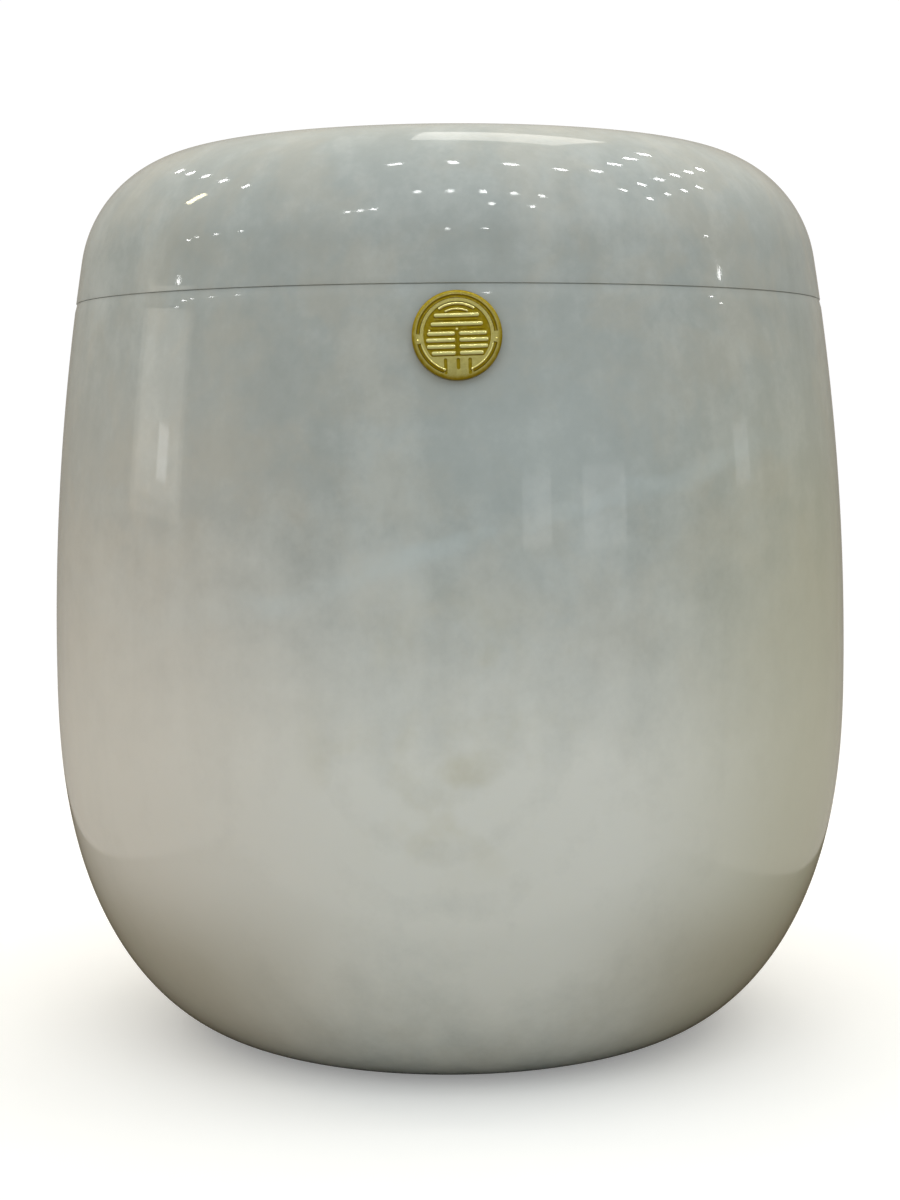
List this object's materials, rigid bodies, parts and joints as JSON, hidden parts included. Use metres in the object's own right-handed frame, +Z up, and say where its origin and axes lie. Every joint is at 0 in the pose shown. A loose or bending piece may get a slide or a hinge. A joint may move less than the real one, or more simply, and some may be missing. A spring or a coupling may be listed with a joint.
{
  "type": "cremation urn",
  "caption": "Round polished-stone cremation urn with a rounded base, a domed lift-off lid and a small gilt medallion under the seam.",
  "frame": {"origin": "middle of the flat underside, where the urn stands", "axes": "+Z up along the axis of turning, -Y towards the medallion, +X to the right as the medallion is faced"},
  "size_m": [0.24, 0.24, 0.2676],
  "materials": {
    "stone": "polished",
    "gilt": "polished gilt"
  },
  "bodies": {
    "root": {"urn_body": "stone", "urn_lid": "stone", "medallion": "gilt"}
  },
  "joints": []
}
